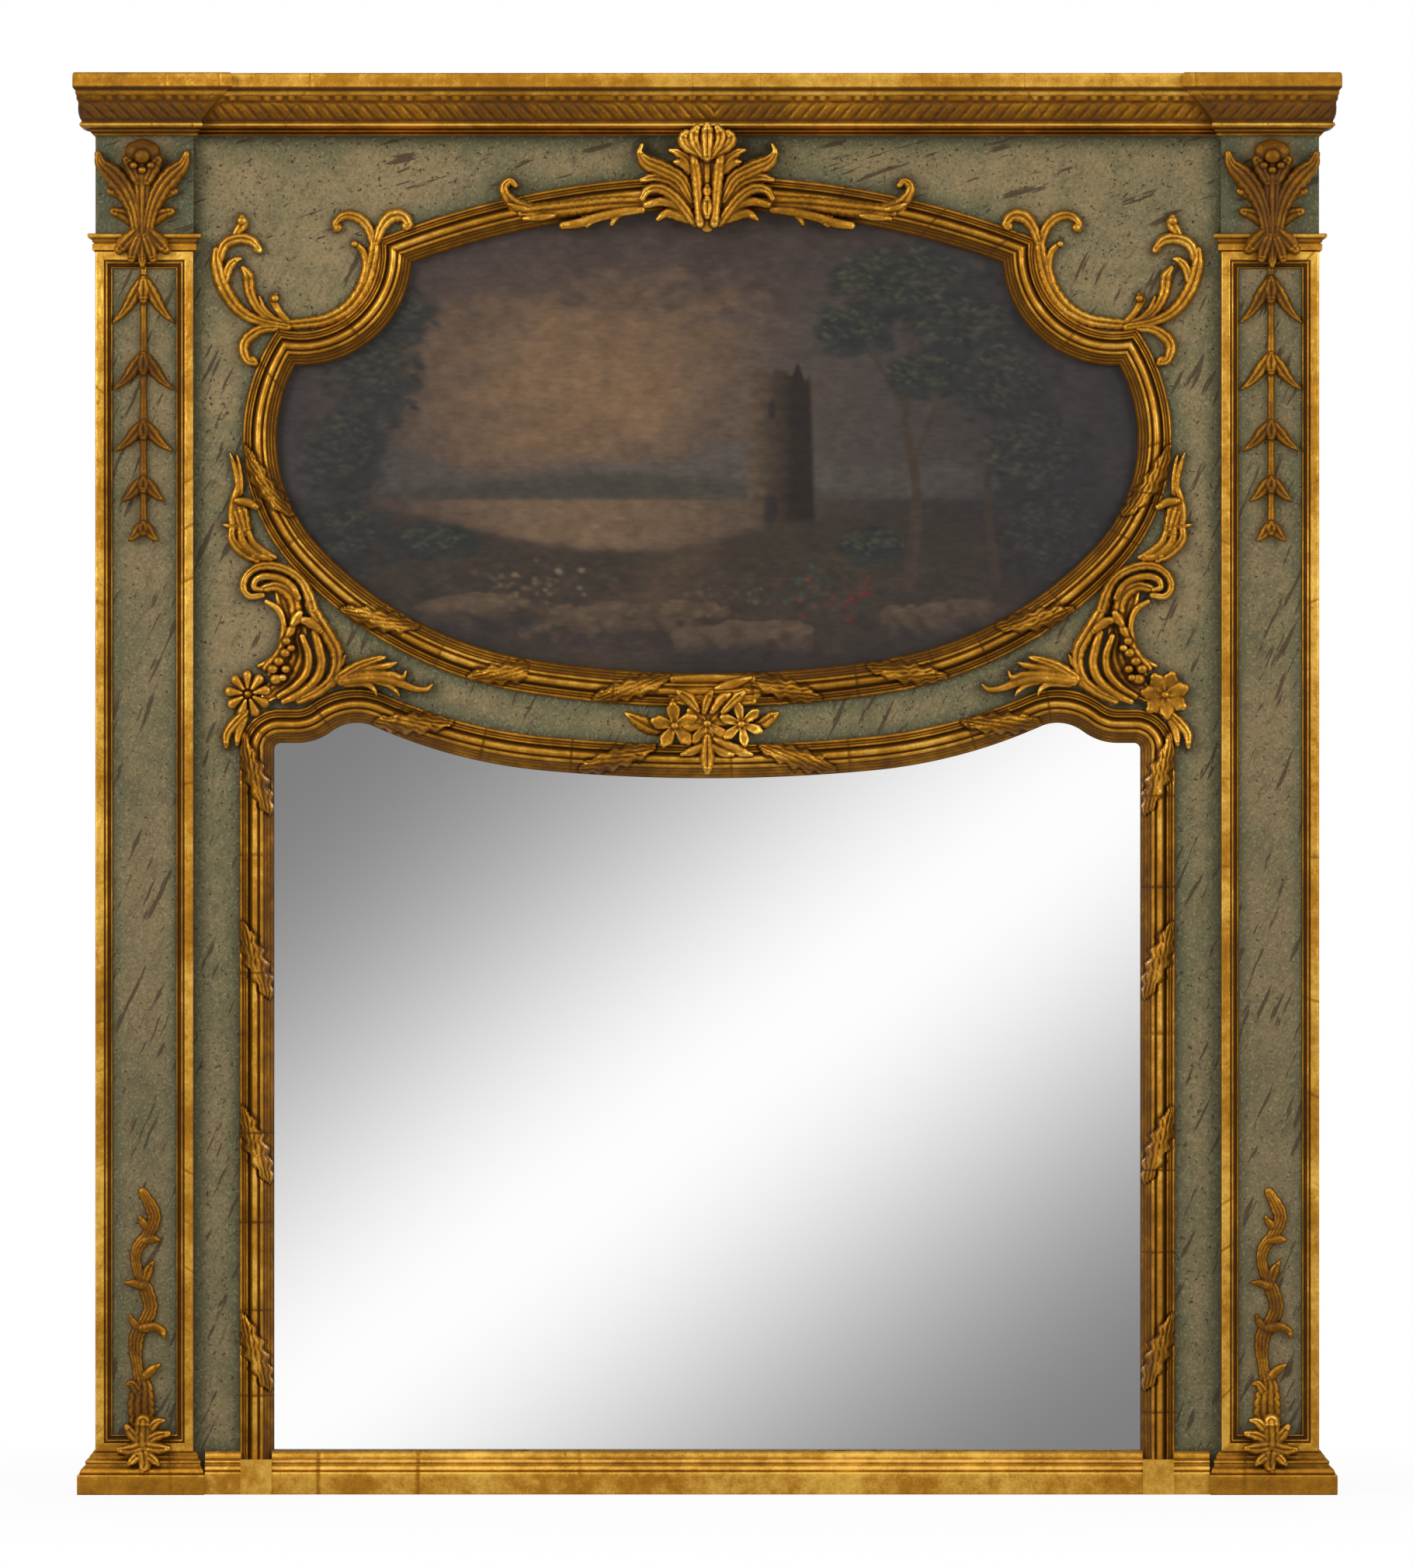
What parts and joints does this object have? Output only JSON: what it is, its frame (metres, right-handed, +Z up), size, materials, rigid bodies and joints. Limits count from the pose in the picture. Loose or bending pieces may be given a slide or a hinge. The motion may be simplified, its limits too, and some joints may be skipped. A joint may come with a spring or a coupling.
{
  "type": "trumeau mirror",
  "caption": "Tall carved and gilt pier mirror with a painted panel above the glass, pilasters, plinths and a break-front cornice; stands on a shelf and hangs by rings.",
  "frame": {"origin": "middle of the footprint, on the surface the mirror stands on", "axes": "+Z up, -Y towards the viewer, +X to the viewer's right"},
  "size_m": [1.632, 0.118, 1.83],
  "materials": {
    "gilt_moulding": "worn water gilding over bole on wood mouldings",
    "gilt_carving": "worn water gilding over gesso on carved wood",
    "sage_paint": "aged sage green paint, rubbed and streaked",
    "bare_wood": "old unfinished softwood",
    "mirror_glass": "silvered glass",
    "painted_canvas": "dark oil paint on primed canvas",
    "hanger_brass": "dull brass",
    "screw_steel": "dark steel"
  },
  "bodies": {
    "root": {"back_bottom_rail": "bare_wood", "back_middle_rail": "bare_wood", "back_stile_left": "bare_wood", "back_stile_right": "bare_wood", "back_top_rail": "bare_wood", "base_rail": "gilt_moulding", "batten_screws": "screw_steel", "bellflower_drop_left": "gilt_carving", "bellflower_drop_right": "gilt_carving", "capital_leaf_left": "gilt_carving", "capital_leaf_right": "gilt_carving", "centre_flowers": "gilt_carving", "cornice_back_board": "bare_wood", "cornice_break_left": "gilt_moulding", "cornice_break_right": "gilt_moulding", "cornice_main": "gilt_moulding", "cornice_top_board": "bare_wood", "crest": "gilt_carving", "crest_branch_left": "gilt_carving", "crest_branch_right": "gilt_carving", "field_panel": "sage_paint", "frieze_block_left": "sage_paint", "frieze_block_right": "sage_paint", "glass_battens": "bare_wood", "hanger_screws": "screw_steel", "hanger_straps": "hanger_brass", "leaf_stem_left": "gilt_carving", "leaf_stem_right": "gilt_carving", "lower_bracket_left": "gilt_carving", "lower_bracket_right": "gilt_carving", "mirror_back_board": "bare_wood", "mirror_glass": "mirror_glass", "mirror_leaves": "gilt_carving", "mirror_moulding_left": "gilt_moulding", "mirror_moulding_right": "gilt_moulding", "mirror_moulding_top": "gilt_moulding", "painting_canvas": "painted_canvas", "painting_stretcher": "bare_wood", "picture_blocks": "bare_wood", "picture_clasp": "gilt_carving", "picture_leaves": "gilt_carving", "picture_moulding": "gilt_moulding", "pilaster_board_left": "sage_paint", "pilaster_board_right": "sage_paint", "pilaster_cap_left": "gilt_moulding", "pilaster_cap_right": "gilt_moulding", "pilaster_frame_left": "gilt_moulding", "pilaster_frame_right": "gilt_moulding", "plinth_left": "gilt_moulding", "plinth_right": "gilt_moulding", "rosette_left": "gilt_carving", "rosette_right": "gilt_carving", "side_leaf_left": "gilt_carving", "side_leaf_right": "gilt_carving", "stile_blocks": "gilt_moulding", "stretcher_keys": "bare_wood", "upper_scroll_left": "gilt_carving", "upper_scroll_right": "gilt_carving"},
    "hanger_ring_left": {"hanger_ring_left": "hanger_brass"},
    "hanger_ring_right": {"hanger_ring_right": "hanger_brass"}
  },
  "joints": [
    {"name": "hanger_ring_left_swing", "type": "hinge", "parent": "root", "child": "hanger_ring_left", "pos_m": [-0.64, 0.0547, 1.56], "axis": [1, 0, 0], "range_deg": [0, 180]},
    {"name": "hanger_ring_right_swing", "type": "hinge", "parent": "root", "child": "hanger_ring_right", "pos_m": [0.64, 0.0547, 1.56], "axis": [1, 0, 0], "range_deg": [0, 180]}
  ]
}
